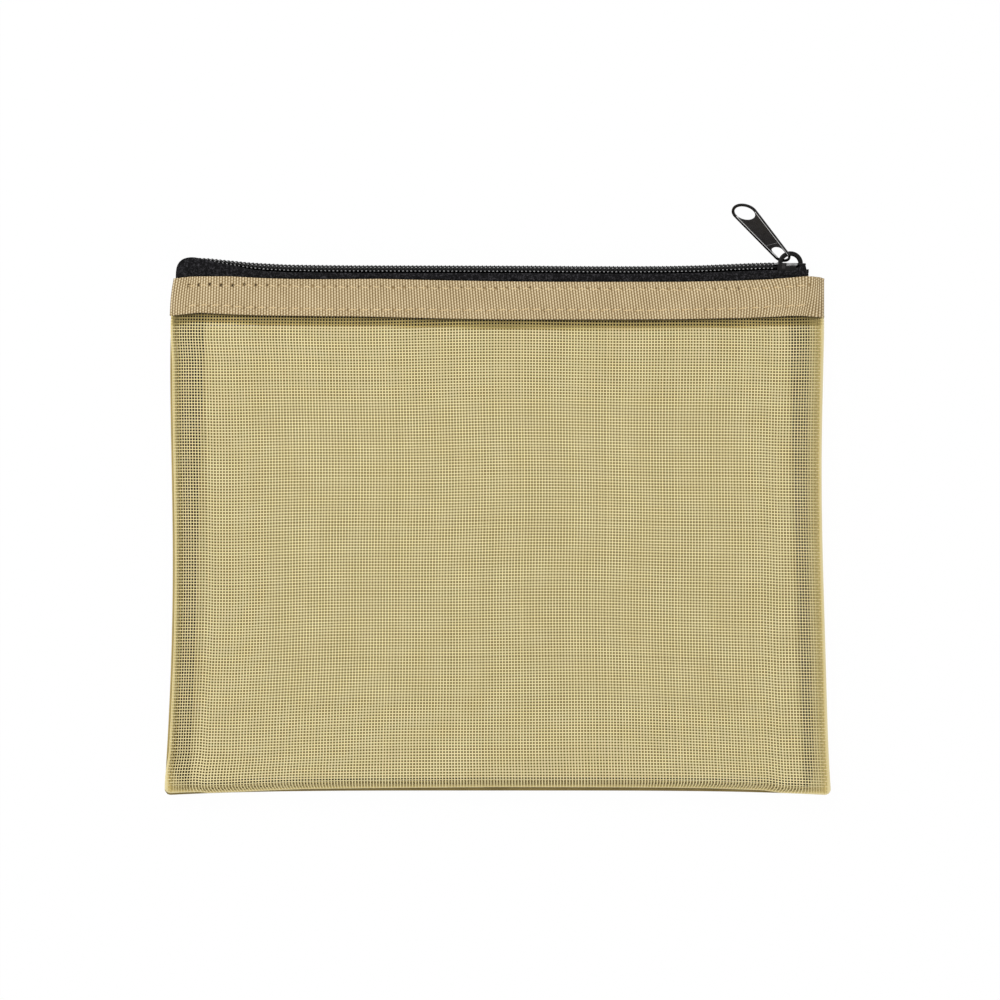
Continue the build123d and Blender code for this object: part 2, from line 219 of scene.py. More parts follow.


# Mesh cloth of beige polyester yarn, woven open: satin fibre with slightly uneven dyeing; most of its colour
# is painted shade from the shade attribute, and its inner side is painted dark as shade
mesh_yarn = fibre_cloth(
    "beige_polyester_yarn", "#241804", "#dcc57f", "#fff4c6", 0.6, 0.05, 9.0, 0.35, 0.05, 0.15, 0.7, "#241804"
)
# Ribbed binding tape, woven tight: a drier, browner beige, with painted shade in its rib grooves and needle
# pits and painted highlight on its crests and beads
ribbed_tape = fibre_cloth(
    "beige_ribbed_tape", "#3a2d18", "#a98f63", "#fff0cb", 0.75, 0.1, 7.0, 0.3, 0.06, 0.3, 0.7
)
# Sewing thread, the binding's beige a little paler
sewing_thread = fibre_cloth("beige_sewing_thread", "#c9ad7e", "#d8be8e", "#e6cfa2", 0.6, 0.1, 5.0, 0.2, 0.04)
# Uncoated card: fibres and faint mottling, its colour painted far darker than the real pale card, as painted
# shade from the mesh that covers it
card_painted_shade = fibre_cloth("uncoated_card_painted_shade", "#705e2a", "#7c6a35", "#887641", 0.85, 0.0, 12.0, 0.6, 0.02)
# Black woven zip tape: dull, with a fine twill grain
black_tape = fibre_cloth("black_woven_tape", "#020202", "#121113", "#3e3d40", 0.85, 0.0, 0.9, 0.5, 0.15, 0.1)


def moulded(name, dark, light, roughness, specular):
    """A black surface with faint unevenness in its gloss."""
    made, tree, shader = new_material(name)
    place = add(tree, "ShaderNodeTexCoord").outputs["Object"]
    spots = add(tree, "ShaderNodeTexNoise", [("Vector", place), ("Scale", per_mm(1.5)), ("Detail", 3.0)])
    worn = add(
        tree, "ShaderNodeMapRange",
        [("Value", spots.outputs["Fac"]), ("From Min", 0.35), ("From Max", 0.65)],
    )
    tint = mixed_colour(tree, worn.outputs["Result"], colour(dark), colour(light))
    tree.links.new(tint, shader.inputs["Base Color"])
    gloss = add(
        tree, "ShaderNodeMapRange",
        [("Value", spots.outputs["Fac"]), ("To Min", roughness * 0.8), ("To Max", roughness * 1.25)],
    )
    tree.links.new(gloss.outputs["Result"], shader.inputs["Roughness"])
    bump = add(
        tree, "ShaderNodeBump",
        [("Height", spots.outputs["Fac"]), ("Strength", 0.15), ("Distance", 0.05 * MM)],
    )
    tree.links.new(bump.outputs["Normal"], shader.inputs["Normal"])
    shader.inputs["Specular IOR Level"].default_value = specular
    return made


# Nylon monofilament of the zip's coil: satin black
black_nylon = moulded("black_nylon_coil", "#050505", "#0c0c0c", 0.35, 0.2)
# Zinc casting with black enamel: a deep gloss
black_enamel = moulded("black_enamel_zinc", "#0b0a0a", "#131212", 0.22, 0.15)
# The pull's flat face: the same enamel, satin
satin_enamel = moulded("black_satin_enamel", "#232121", "#2b2929", 0.5, 0.2)
# Dull grey on the black enamel: a painted highlight where it takes the light
grey_painted_highlight = moulded("grey_enamel_painted_highlight", "#6e6e6e", "#9a9a9a", 0.45, 0.4)
# Light grey on the enamel's edges: a painted highlight where they take the light
edge_painted_highlight = moulded("enamel_edge_painted_highlight", "#d4d4d4", "#e8e8e8", 0.3, 0.5)
# Thread that sews the coil to its tape, seen where it comes up over a turn: pale grey, a painted highlight
# that stands for the glint on each turn
coil_glint_thread = moulded("thread_painted_glint", "#8c8c8c", "#b4b4b4", 0.5, 0.3)


# Making pieces

def as_piece(name, mesh, materials, body, nodes=()):
    """A mesh in the row frame as a piece that rides on a body. Its faces pick among the materials."""
    mesh.name = name
    for material in materials:
        mesh.materials.append(material)
    made = bpy.data.objects.new(name, mesh)
    bpy.context.scene.collection.objects.link(made)
    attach(made, body)
    if nodes:
        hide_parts(*nodes)
    return made


def shaped_grid(columns, rows, place, keep=None, flip=False):
    """A grid of columns by rows faces, moved by place(column, row) -> millimetre points and their shade, 0 in
    a hollow and 1 on a crest. keep picks its columns."""
    build = bmesh.new()
    build.loops.layers.uv.new("OFBake")
    bmesh.ops.create_grid(build, x_segments=columns, y_segments=rows, size=0.5, calc_uvs=True)
    if keep:
        gone = [f for f in build.faces if not keep(int((f.calc_center_median().x + 0.5) * columns))]
        bmesh.ops.delete(build, geom=gone, context="FACES")
    if flip:
        bmesh.ops.reverse_faces(build, faces=build.faces[:])
    mesh = bpy.data.meshes.new("grid")
    build.to_mesh(mesh)
    build.free()
    flat = np.zeros(len(mesh.vertices) * 3)
    mesh.vertices.foreach_get("co", flat)
    flat = flat.reshape(-1, 3)
    column = np.rint((flat[:, 0] + 0.5) * columns).astype(int)
    row = np.rint((flat[:, 1] + 0.5) * rows).astype(int)
    points, shade = place(column, row)
    mesh.vertices.foreach_set("co", (points * MM).astype(np.float32).ravel())
    mesh.attributes.new("shade", "FLOAT", "POINT").data.foreach_set("value", shade.astype(np.float32))
    mesh.polygons.foreach_set("use_smooth", np.ones(len(mesh.polygons), bool))
    mesh.update()
    return mesh


def smooth_line(knots, count, windows):
    """A line through knots as count points, rounded off at the knots."""
    knots = np.array(knots, float)
    arc = np.concatenate([[0], np.cumsum(np.linalg.norm(np.diff(knots, axis=0), axis=1))])
    line = np.stack([np.interp(np.linspace(0, arc[-1], count), arc, knots[:, k]) for k in (0, 1)], axis=1)
    for window in windows:
        more = np.pad(line, ((window // 2, window // 2), (0, 0)), mode="reflect", reflect_type="odd")
        even = np.ones(window) / window
        line = np.stack([np.convolve(more[:, k], even, mode="valid") for k in (0, 1)], axis=1)
    return line


def edge_curve(section):
    """The cloth's section from the seam to the flat: arc length, inset from the outline and height."""
    inset, height = smooth_line(section, 160, (13, 9)).T
    arc = np.concatenate([[0], np.cumsum(np.hypot(np.diff(inset), np.diff(height)))])
    return arc, inset, height


def along(curve, distance):
    """Inset, height and their rates at a distance along an edge curve."""
    arc, inset, height = curve
    return (
        np.interp(distance, arc, inset), np.interp(distance, arc, height),
        np.interp(distance, arc, np.gradient(inset, arc)), np.interp(distance, arc, np.gradient(height, arc)),
    )


SIDE_CURVE, FOOT_CURVE = edge_curve(SIDE_SECTION), edge_curve(FOOT_SECTION)
SIDE_ARC, FOOT_ARC = SIDE_CURVE[0][-1], FOOT_CURVE[0][-1]
cloth_width = 2 * (TOP_HALF_WIDTH - SIDE_ROUND + SIDE_ARC)
cloth_length = CLOTH_TOP - LOW_Y - BOTTOM_ROUND + FOOT_ARC


def cloth_point(a, b, lift, side, draw_in):
    """Points of a panel. a and b are millimetres of cloth from its lower left corner, lift is off its middle
    plane. side is 1 for the front and -1 for the back. draw_in is how far the outline lies inside the pouch's
    at the left and at the right, and what share of STRIP_WIDTH it lies inside at the bottom."""
    left = a < cloth_width / 2
    outward = np.where(left, -1, 1)
    inset, side_high, side_run, side_climb = along(SIDE_CURVE, np.minimum(a, cloth_width - a))
    across = (a - SIDE_ARC) / (cloth_width - 2 * SIDE_ARC) * 2 - 1
    low_inset, low_high, low_run, low_climb = along(FOOT_CURVE, b)
    upward = np.clip((b - FOOT_ARC) / (cloth_length - FOOT_ARC), 0, 1)
    inner = np.abs(across) < 1
    low_x = np.where(inner, across * (LOW_HALF_WIDTH - SIDE_ROUND), outward * (LOW_HALF_WIDTH - inset))
    floor_y = bottom_edge(low_x) + draw_in[2] * np.interp(low_x, STRIP_X, STRIP_WIDTH)
    above_foot = (floor_y + BOTTOM_ROUND) * (1 - upward) + CLOTH_TOP * upward
    y = np.where(b < FOOT_ARC, floor_y + low_inset, above_foot)
    side_strip = np.where(left, draw_in[0] * smooth_step(y, -85, -74), draw_in[1])
    half = half_width(y, left) - side_strip * smooth_step(-y, -74, -60)
    x = np.where(inner, across * (half - SIDE_ROUND), outward * (half - inset))
    # rounded lower corners
    turn_x, turn_y = half - CORNER_RADIUS, floor_y + CORNER_RADIUS
    u, v = (np.abs(x) - turn_x) / CORNER_RADIUS, (turn_y - y) / CORNER_RADIUS
    corner = (u > 0) & (v > 0)
    u, v = np.where(corner, u, 0), np.where(corner, v, 0)
    x = np.where(corner, np.sign(x) * (turn_x + CORNER_RADIUS * u * np.sqrt(1 - v * v / 2)), x)
    y = np.where(corner, turn_y - CORNER_RADIUS * v * np.sqrt(1 - u * u / 2), y)
    # the yarns' lower ends are drawn towards the middle, except at the corners
    drawn = smooth_step(np.abs(x), 40, 90) * smooth_step(-np.abs(x), -112, -102) * smooth_step(-b, -5, 0)
    x = x - np.sign(x) * FOOT_LEAN * drawn
    side_share, low_share = side_high / CLOTH_RISE, low_high / CLOTH_RISE
    high = CLOTH_RISE * side_share * low_share - DIP * smooth_step(y, DIP_START, DIP_END) * side_share
    # slow waves in the weave, which lie in the plane of the cloth
    calm = smooth_step(np.minimum(a, cloth_width - a), 2, 25) * smooth_step(b, 4, 20)
    y = y + calm * (0.35 * np.sin(x / 31 + 1.1) + 0.2 * np.sin(x / 13 + y / 40))
    x = x + calm * (0.3 * np.sin(y / 27 + 0.5) + 0.15 * np.sin(y / 11 + x / 50))
    out = np.stack([outward * side_climb, -low_climb, side_run * low_run + 0.05], axis=1)
    out /= np.linalg.norm(out, axis=1)[:, None]
    point = np.stack([x, y, high], axis=1) + out * lift[:, None]
    point[:, 2] = MIDDLE + side * point[:, 2]
    return point


def closing(x, y):
    """Share of the pouch's thickness left near a side seam, where the front and the back come together."""
    _, inset, height = SIDE_CURVE
    return np.interp(half_width(y, x < 0) - np.abs(x), inset, height) / CLOTH_RISE


warp_count = int(cloth_width / YARN_PITCH)
weft_count = int(cloth_length / YARN_PITCH)
warp_jitter = chance.normal(0, 0.025, warp_count)
weft_jitter = chance.normal(0, 0.025, weft_count)
warp_girth = chance.normal(1, 0.04, warp_count)
weft_girth = chance.normal(1, 0.04, weft_count)

# Filler card, folded at the bottom
CARD_RISE = 4.9  # above and below the seam plane
CARD_TOP = 74.1
CARD_LOW = -84.6
CARD_TOP_HALF = 102.5
CARD_LOW_HALF = 107.6
CARD_WALL = 0.5
CARD_DIP = 1.3  # its upper edge sinks in under the binding

# Margin beside the card, where the cloth is pulled thinner and painted a little darker, as painted shade
MARGIN = 11.5
MARGIN_MORE = 2.8  # wider at the top
MARGIN_THINNING = 0.22
MARGIN_PAINTED_SHADE = 0.02


def card_half(y):
    """Half the filler card's width at height y."""
    return np.interp(y, [CARD_LOW, CARD_TOP], [CARD_LOW_HALF, CARD_TOP_HALF])


def weave(name, side, draw_in, upright, nodes):
    """One system of yarns of a panel: the upright ones or the level ones, each an arched ribbon."""
    count, crossings = (warp_count, weft_count) if upright else (weft_count, warp_count)
    jitter, girth = (warp_jitter, warp_girth) if upright else (weft_jitter, weft_girth)
    span = cloth_width if upright else cloth_length
    reach = cloth_length if upright else cloth_width

    def place(column, row):
        yarn, strand = column // 3, column % 3 - 1
        across = (yarn + 0.5) / count * span + jitter[yarn]
        # at the crossings, with the yarn's two ends drawn out to the seams
        run = np.clip((row - 0.5) / crossings, 0, 1) * reach
        # pulled thinner in the margins, where no card fills the pouch out
        a, b = (across, run) if upright else (run, across)
        margin_width = MARGIN + MARGIN_MORE * b / cloth_length
        margin = smooth_step(margin_width - np.minimum(a, cloth_width - a), -0.6, 0.6)
        across = across + strand * YARN_WIDTH / 2 * girth[yarn] * (1 - MARGIN_THINNING * margin)
        over = np.where((yarn + row + (0 if upright else 1)) % 2, 1, -1)
        a, b = (across, run) if upright else (run, across)
        # at the outline the yarns lie flatter: the front's ends on the fold, all others inside it
        edge = np.minimum(a, cloth_width - a)
        free = smooth_step(np.minimum(edge, b), 0, 2.5)
        ends = smooth_step(edge if upright else b, 0, 2.5) if side > 0 else 0
        # the level yarns sink in along the foot, between the upright ones
        foot = 0 if upright else smooth_step(b, 0.6, 1.2) * smooth_step(-b, -5.6, -4.6)
        lift = (YARN_WAVE * over + YARN_CROWN * (strand == 0)) * np.maximum(free, 0.4 * ends)
        lift = lift + (0.22 * ends - 0.15) * (1 - free) - 0.3 * foot
        # painted shade: darker on a yarn's edges and where it passes under, lighter where it passes over
        shade = (0.92 + 0.04 * (over + 1)) * np.where(strand == 0, 1, 0.55)
        point = cloth_point(a, b, lift, side, draw_in)
        # painted shade in the recess under the binding's lower edge, and along the steep edge of the pouch
        below = point[:, 1] - wander(point[:, 0], BAND_LOW)
        shade = shade * (1 - 0.6 * smooth_step(below, -3.8, -2.8))
        shade = shade * (1 - 0.75 * smooth_step(below, -1.4, -0.3))
        steep = smooth_step(edge, 1.6, 2.4) * smooth_step(-edge, -5.0, -4.0) if upright else 0.8 * foot
        # and a little painted shade where no card lies behind
        bare = smooth_step(np.abs(point[:, 0]) - card_half(point[:, 1]), -0.5, 0.5)
        return point, shade * (1 - 0.5 * steep) * (1 - MARGIN_PAINTED_SHADE * bare)

    mesh = shaped_grid(3 * count - 1, crossings + 1, place, lambda c: c % 3 != 2, (side < 0) == upright)
    return as_piece(name, mesh, [mesh_yarn], "wallet", nodes)


HEM_COLUMNS = 520
HEM_ROWS = 5
# by row, from the outline inwards: share of the width, lift off the cloth and painted shade of the front's
# hem, darker inwards
HEM_SHARE = np.array([0, 0.15, 0.3, 0.5, 0.75, 1])
HEM_LIFT = np.array([0.1, 0.1, 0.0, -0.3, -0.4, -0.4])
HEM_SHADE = np.array([0.85, 0.75, 0.55, 0.35, 0.24, 0.14])
# and how far in the back's hem lies, a real turned-in allowance drawn wide as a dark sheet of painted shade
# inside the pouch; its first rows are pressed flat in the seam
BACK_HEM_SIDE = np.array([0, 0.8, 1.6, 5.0, 9.0, 15.5])
BACK_HEM_FOOT = np.array([0, 0.8, 1.6, 4.5, 6.5, 9.0])
PRESSED_ROWS = 3


def hem_place(side, draw_in):
    """The allowance turned in along the seam: down the left side, along the bottom and up the right side.
    The front's is narrow, but wide at the right, and folded double at the lower corners, with painted shade
    that darkens inwards. The back's is pressed flat in the seam, where it shows beyond the front as a strip
    painted dark as the shade under the front's fold, and lies wide against the inside of the back, painted
    darkest there as the shade inside the pouch."""

    def place(column, row):
        run = column / HEM_COLUMNS * (2 * cloth_length + cloth_width)
        left, right = run < cloth_length, run > cloth_length + cloth_width
        up = np.where(left, cloth_length - run, np.where(right, run - cloth_length - cloth_width, 0))
        on = np.clip(run - cloth_length, 0, cloth_width)
        folded = np.exp(-(np.where(left | right, up, np.minimum(on, cloth_width - on)) / 9) ** 2)
        share = HEM_SHARE[row]
        if side > 0:
            to_side = np.where(left, 2.6 + 7 * folded, np.where(right, 7.0 + 2.6 * folded, 9.6)) * share
            to_foot = np.where(left | right, 6.6, 2.4 + 4.2 * folded) * share
            lift, shade = HEM_LIFT[row], HEM_SHADE[row]
        else:
            to_side, to_foot = BACK_HEM_SIDE[row], BACK_HEM_FOOT[row]
            lift = np.full(len(row), -0.45)
            # painted shade: the pressed rows dark as the strip in the front's shadow, darker along the
            # bottom; the wide rows darkest, as the shade inside the pouch
            shade = np.where(left | right, 0.3, 0.16) * (row < PRESSED_ROWS)
        far_side = cloth_width - to_side
        a = np.where(left, to_side, np.where(right, far_side, np.clip(on, to_side, far_side)))
        b = np.where(left | right, np.maximum(up, to_foot), to_foot)
        point = cloth_point(a, b, lift, side, draw_in)
        if side < 0:
            # the part in the seam: out to the outline, and level with it
            flat = row < PRESSED_ROWS
            low = bottom_edge(np.clip(on / cloth_width * 2 - 1, -1, 1) * LOW_HALF_WIDTH) + to_foot
            y = np.where(left | right, np.maximum(point[:, 1], low), low)
            half = half_width(y, on < cloth_width / 2) - to_side * (left | right)
            foot_x = np.clip((on / cloth_width * 2 - 1) * half, -half, half)
            x = np.where(left, -half, np.where(right, half, foot_x))
            turn_x, turn_y = half - CORNER_RADIUS, low - to_foot + CORNER_RADIUS
            u = np.clip((np.abs(x) - turn_x) / CORNER_RADIUS, 0, 1)
            v = np.clip((turn_y - y) / CORNER_RADIUS, 0, 1)
            x = np.sign(x) * np.where(u > 0, turn_x + CORNER_RADIUS * u * np.sqrt(1 - v * v / 2), np.abs(x))
            y = np.where(v > 0, turn_y - CORNER_RADIUS * v * np.sqrt(1 - u * u / 2), y)
            point = np.where(flat[:, None], np.stack([x, y, MIDDLE - 0.05 - 0.1 * row], axis=1), point)
        return point, shade

    return place


for name, side, draw_in in (("front", 1, (0.8, 0.1, 1.0)), ("back", -1, (0.0, 0.0, 0.0))):
    mesh = shaped_grid(HEM_COLUMNS, HEM_ROWS, hem_place(side, draw_in))
    hem = as_piece(f"{name}_hem", mesh, [mesh_yarn], "wallet")
    warp = weave(f"{name}_mesh_warp", side, draw_in, True, [f"{name}_panel"])
    weft = weave(f"{name}_mesh_weft", side, draw_in, False, [])

CARD_COLUMNS = 20
CARD_ROWS = 16


def card_place(column, row):
    """The card from its front upper edge down, round the fold and up again behind."""
    steps = np.array([0, 8.2, 60, 120, CARD_TOP - CARD_LOW - CARD_RISE])
    fold = np.linspace(0, math.pi, 9)[1:-1]
    down = CARD_TOP - steps
    y = np.concatenate([down, CARD_LOW + CARD_RISE - CARD_RISE * np.sin(fold), down[::-1]])
    front = np.array([CARD_RISE - CARD_DIP] + [CARD_RISE] * 4)
    z = np.concatenate([front, CARD_RISE * np.cos(fold), -front[::-1]])
    x = (column / CARD_COLUMNS * 2 - 1) * card_half(y[row])
    return np.stack([x, y[row], MIDDLE + z[row]], axis=1), np.ones(len(row))


card_mesh = shaped_grid(CARD_COLUMNS, CARD_ROWS, card_place)
card = as_piece("card", card_mesh, [card_painted_shade], "wallet", ["filler_card"])
wall = card.modifiers.new("wall", "SOLIDIFY")
wall.thickness = CARD_WALL * MM
wall.offset = 0.0

# Binding: ribbed tape
RIB_PITCH = 0.976
RIB_STEPS = 4
RIB_DEPTH = 0.2
BEAD_DEPTH = 0.07
BINDING_FACE = 5.35
BINDING_ROWS = 54
BINDING_HALF = 115.1
BEAD_PITCH = 1.0
BEAD_START = 76.5
CLOSED_BY = BINDING_FACE - 0.12  # what the face's height loses where the front and the back come together
ribs = int(2 * BINDING_HALF / RIB_PITCH)
# its turned edges, by row: off the edge line and off the face
ROLLED = 3
last_row = BINDING_ROWS + ROLLED
LOW_ROLLS = {0: (0.5, -0.95), 1: (0.1, -0.8), 2: (-0.1, -0.35)}
HIGH_ROLLS = {last_row + 1: (0.15, -0.3), last_row + 2: (0.1, -0.8), last_row + 3: (-0.5, -1.0)}
# how far the ribs lean and bow, by x
LEAN_X = [-114.4, -110, -70, 0, 70, 95, 104, 110, 114.4]
LEAN = [0, 0.5, 0.1, -1.4, -1.8, -1.2, 0.4, 2.4, 0]
BOW_X = [60, 80, 97, 106, 114.4]
BOW = [0, 0.5, 1.3, 0.6, 0]


def binding_place(side):
    """The band: ribs across it, beads along each rib, and pits where the needle went in."""

    def place(column, row):
        x = (column / (ribs * RIB_STEPS) * 2 - 1) * BINDING_HALF
        share = np.clip((row - ROLLED) / BINDING_ROWS, 0, 1)
        low, high = wander(x, BAND_LOW), wander(x, BAND_HIGH)
        y = low + (high - low) * share
        z = np.full(len(x), BINDING_FACE)
        for edge, rolls in ((low, LOW_ROLLS), (high, HIGH_ROLLS)):
            for at, (dy, dz) in rolls.items():
                y = np.where(row == at, edge + dy, y)
                z = np.where(row == at, BINDING_FACE + dz, z)
        turn = (column % RIB_STEPS) / RIB_STEPS * 2 - 1
        rib = column // RIB_STEPS
        round_rib = np.sqrt(np.clip(1 - 0.96 * turn * turn, 0, 1))
        bead = np.cos(2 * math.pi * ((y - BEAD_START) / BEAD_PITCH + 0.5 * (rib % 2)))
        # painted shade in the ribs' grooves and between the beads, painted highlight on their crests
        shade = 0.05 + 0.65 * (0.5 + 0.5 * np.cos(math.pi * turn)) + 0.3 * (0.5 + 0.5 * bead)
        # and painted shade in the needle pits
        for line, strength in zip(needle_rows, needle_painted_shade):
            nearest = np.rint((x - line[0, 0]) / (line[1, 0] - line[0, 0])).astype(int)
            nearest = np.clip(nearest, 0, len(line) - 1)
            pit = np.exp(-((x - line[nearest, 0]) ** 2 + (y - line[nearest, 1]) ** 2) / NEEDLE ** 2)
            z = z - NEEDLE_DEPTH * pit
            shade = shade * (1 - np.clip(strength[nearest] * pit, 0, 1))
        z = z + RIB_DEPTH * (round_rib - 1) + BEAD_DEPTH * bead * round_rib
        # the ribs lean, bow towards the right end, whose corner is a little rounded, and are drawn askew
        # at the left
        lean, bow = np.interp(x, LEAN_X, LEAN), np.interp(x, BOW_X, BOW)
        y = y - 0.3 * smooth_step(x, 113.4, 115.1) ** 2 * smooth_step(share, 0.9, 1)
        askew = smooth_step(-x, 100, 114.4) * 1.3 * share * share
        x = x + lean * (share - 0.5) + bow * (1 - (2 * share - 1) ** 2) + askew
        z = z + CLOSED_BY * (closing(x, y) - 1)
        return np.stack([x, y, MIDDLE + side * z], axis=1), shade

    return place


def tube(points, radius, name, sides=3, swell=None):
    """A round thread along points, or several along an array of them, as a mesh. swell scales its radius."""
    line = bpy.data.curves.new(name, "CURVE")
    line.dimensions = "3D"
    line.bevel_depth = radius * MM
    line.bevel_resolution = sides
    line.use_fill_caps = True
    for strand in points if points.ndim == 3 else [points]:
        spline = line.splines.new("POLY")
        spline.points.add(len(strand) - 1)
        spline.points.foreach_set("co", np.c_[strand * MM, np.ones(len(strand))].astype(np.float32).ravel())
        if swell is not None:
            spline.points.foreach_set("radius", swell.astype(np.float32))
    holder = bpy.data.objects.new(name, line)
    bpy.context.scene.collection.objects.link(holder)
    bpy.context.view_layer.update()
    mesh = bpy.data.meshes.new_from_object(holder.evaluated_get(bpy.context.evaluated_depsgraph_get()))
    bpy.data.objects.remove(holder)
    mesh.polygons.foreach_set("use_smooth", np.ones(len(mesh.polygons), bool))
    return mesh


# Stitch rows: thread that dips into a needle hole at each end of a stitch
STITCH = 4.0
STITCH_STEPS = 10
STITCH_RADIUS = 0.2
ROW_END = 5.5  # from the outline to the first stitch
stitches = int(2 * (TOP_HALF_WIDTH - 6) / STITCH)
row_wobble = chance.normal(0, 0.12, (2, stitches + 1))


def stitch_line(side, high):
    """The thread of the upper or the lower row of stitches on one binding."""
    t = np.arange(stitches * STITCH_STEPS + 1)
    x = (t / (stitches * STITCH_STEPS) * 2 - 1) * (TOP_HALF_WIDTH - ROW_END)
    phase = (t % STITCH_STEPS) / STITCH_STEPS
    base = wander(x, UPPER_ROW if high else LOWER_ROW)
    wobble = np.interp(t / STITCH_STEPS, np.arange(stitches + 1), row_wobble[0 if high else 1])
    slant = 0.45 * (phase - 0.5) * (-1 if high else 1)
    bulge = np.sin(math.pi * phase) ** 0.5
    y = base + wobble + slant
    z = BINDING_FACE - 1.0 + (0.86 if high else 0.94) * bulge + CLOSED_BY * (closing(x, y) - 1)
    return np.stack([x, y, MIDDLE + side * z], axis=1)


NEEDLE = 0.42  # radius of the hollow that a stitch pulls at its ends
NEEDLE_DEPTH = 0.45
needle_rows = [stitch_line(1, high)[::STITCH_STEPS, :2] for high in (True, False)]
# painted shade in the needle holes: darkest in the upper row's at the left, faint in the lower row's, which
# are mostly filled by thread
needle_painted_shade = [
    0.2 + 2.2 * smooth_step(-needle_rows[0][:, 0], 75, 95) + np.abs(chance.normal(0, 0.25, stitches + 1)),
    0.1 + np.abs(chance.normal(0, 0.25, stitches + 1)),
]

for name, side in (("front", 1), ("back", -1)):
    mesh = shaped_grid(ribs * RIB_STEPS, BINDING_ROWS + 2 * ROLLED, binding_place(side), flip=side < 0)
    band = as_piece(f"{name}_binding_tape", mesh, [ribbed_tape], "wallet", [f"{name}_binding"])
    for row, high in (("upper", True), ("lower", False)):
        as_piece(
            f"{name}_{row}_thread", tube(stitch_line(side, high), STITCH_RADIUS, "thread"), [sewing_thread],
            "wallet", [f"{name}_{row}_stitch"],
        )

# Seam thread inside the fold, round the sides and the bottom
SEAM_INSET = 2.2
SEAM_RADIUS = 0.16
SEAM_OFF = 0.32  # from the seam plane to the middle of the thread
SEAM_WAVE = 0.12
seam_y = np.arange(74.0, -86.1, -1.0)
seam_left, seam_right = half_width(seam_y, True) - SEAM_INSET, half_width(seam_y, False) - SEAM_INSET
seam_x = np.arange(-112.5, 112.6, 1.0)
seam_path = np.concatenate([
    np.stack([-seam_left, seam_y], axis=1),
    np.stack([seam_x, bottom_edge(seam_x) + SEAM_INSET], axis=1),
    np.stack([seam_right[::-1], seam_y[::-1]], axis=1),
])
for name, side in (("front", 1), ("back", -1)):
    weave_in = SEAM_WAVE * np.where(np.arange(len(seam_path)) % 3, 1, -1)
    points = np.c_[seam_path, MIDDLE + side * (SEAM_OFF + weave_in)]
    as_piece(
        f"{name}_seam_stitch", tube(points, SEAM_RADIUS, "thread", 2), [sewing_thread], "wallet",
        [f"{name}_seam_thread"],
    )

# Zip: the chain's middle line sags a little between its ends and turns a corner at the left
chain_knots = np.array([
    (108.2, 94.7), (103.0, 95.1), (97.0, 95.35), (90.0, 95.15), (81.8, 94.8), (71.3, 94.35), (60.0, 94.1),
    (45.0, 94.02), (30.0, 94.06), (15.0, 94.2), (0.0, 94.24), (-51.6, 94.34), (-62.0, 94.42), (-74.1, 94.6),
    (-86.8, 95.3), (-95.2, 96.12), (-103.6, 97.0), (-107.8, 97.35), (-110.2, 97.0), (-111.5, 95.85),
    (-111.95, 93.9), (-111.95, 91.0),
])
chain_line = smooth_line(chain_knots, 900, (15, 11, 7))
chain_arc = np.concatenate([[0], np.cumsum(np.linalg.norm(np.diff(chain_line, axis=0), axis=1))])
chain_way = np.gradient(chain_line, chain_arc, axis=0)
TOOTH_PITCH = 1.44
COIL_START = 9.7  # inside the slider
COIL_TOP = 1.27  # from the chain's middle line up to the top of the coil
COIL_REACH = 1.13  # from the coil's middle up and down to the middle of its wire
COIL_WIRE = 0.32  # radius
COIL_OFF = 1.45  # from the seam plane to the coil's middle
COIL_HALF = 1.3  # from the coil's middle to the middle of its wire, across the seam plane
COIL_STEPS = 14
CORE_RADIUS = 1.2
# the two threads that sew a coil to its tape, as short pale beads that carry the painted highlight: level on
# the coil, share of a turn, off the seam plane, radius
COIL_THREADS = [(0.54, 0.189, 2.98, 0.16), (-0.72, 0.342, 2.92, 0.2)]


def chain_at(distance):
    """Points of the chain's middle line and its outward direction."""
    point = np.stack([np.interp(distance, chain_arc, chain_line[:, k]) for k in (0, 1)], axis=1)
    way = np.stack([np.interp(distance, chain_arc, chain_way[:, k]) for k in (0, 1)], axis=1)
    way /= np.linalg.norm(way, axis=1)[:, None]
    return point, np.stack([way[:, 1], -way[:, 0]], axis=1)


def coil_share(distance):
    """How much of its height the coil keeps: all of it, until the tape turns it over at the left corner. At
    the right the tape's bare end stands up in its place."""
    corner = smooth_step(distance, chain_arc[-1] - 37, chain_arc[-1] - 10)
    return 1 - 0.72 * corner - 0.5 * smooth_step(-distance, -5, -2)


def turned_over(distance):
    """How far the tape is rolled over the coil at the left corner, from 0 to 1."""
    return smooth_step(distance, chain_arc[-1] - 16, chain_arc[-1] - 9)


def on_coil(side, turn, level, wide):
    """Points on the coil at a turn, level up or down from its middle and wide off the seam plane."""
    distance = COIL_START + turn * TOOTH_PITCH
    middle, out = chain_at(distance)
    thin = coil_share(distance)
    high = COIL_TOP - COIL_WIRE - COIL_REACH * thin - 0.3 * turned_over(distance) + level * thin
    x, y = (middle + out * high[:, None]).T
    return np.stack([x, y, MIDDLE + side * wide * closing(x, y)], axis=1)


coil_turns = int((chain_arc[-1] - COIL_START) / TOOTH_PITCH)


def squarish(wave):
    """A sine wave with fuller shoulders."""
    return np.sign(wave) * np.abs(wave) ** 0.75


def coil_line(side):
    """The wound wire of one half of the chain; the back's turns lie between the front's."""
    t = np.arange(coil_turns * COIL_STEPS) / COIL_STEPS
    angle = 2 * math.pi * (t + (0.5 if side < 0 else 0))
    level, wide = COIL_REACH * squarish(np.cos(angle)), COIL_OFF + COIL_HALF * squarish(np.sin(angle))
    return on_coil(side, t, level, wide)


# Zip tape: lies under the binding, comes out above it and turns in to carry the chain
TAPE_COLUMNS = 260
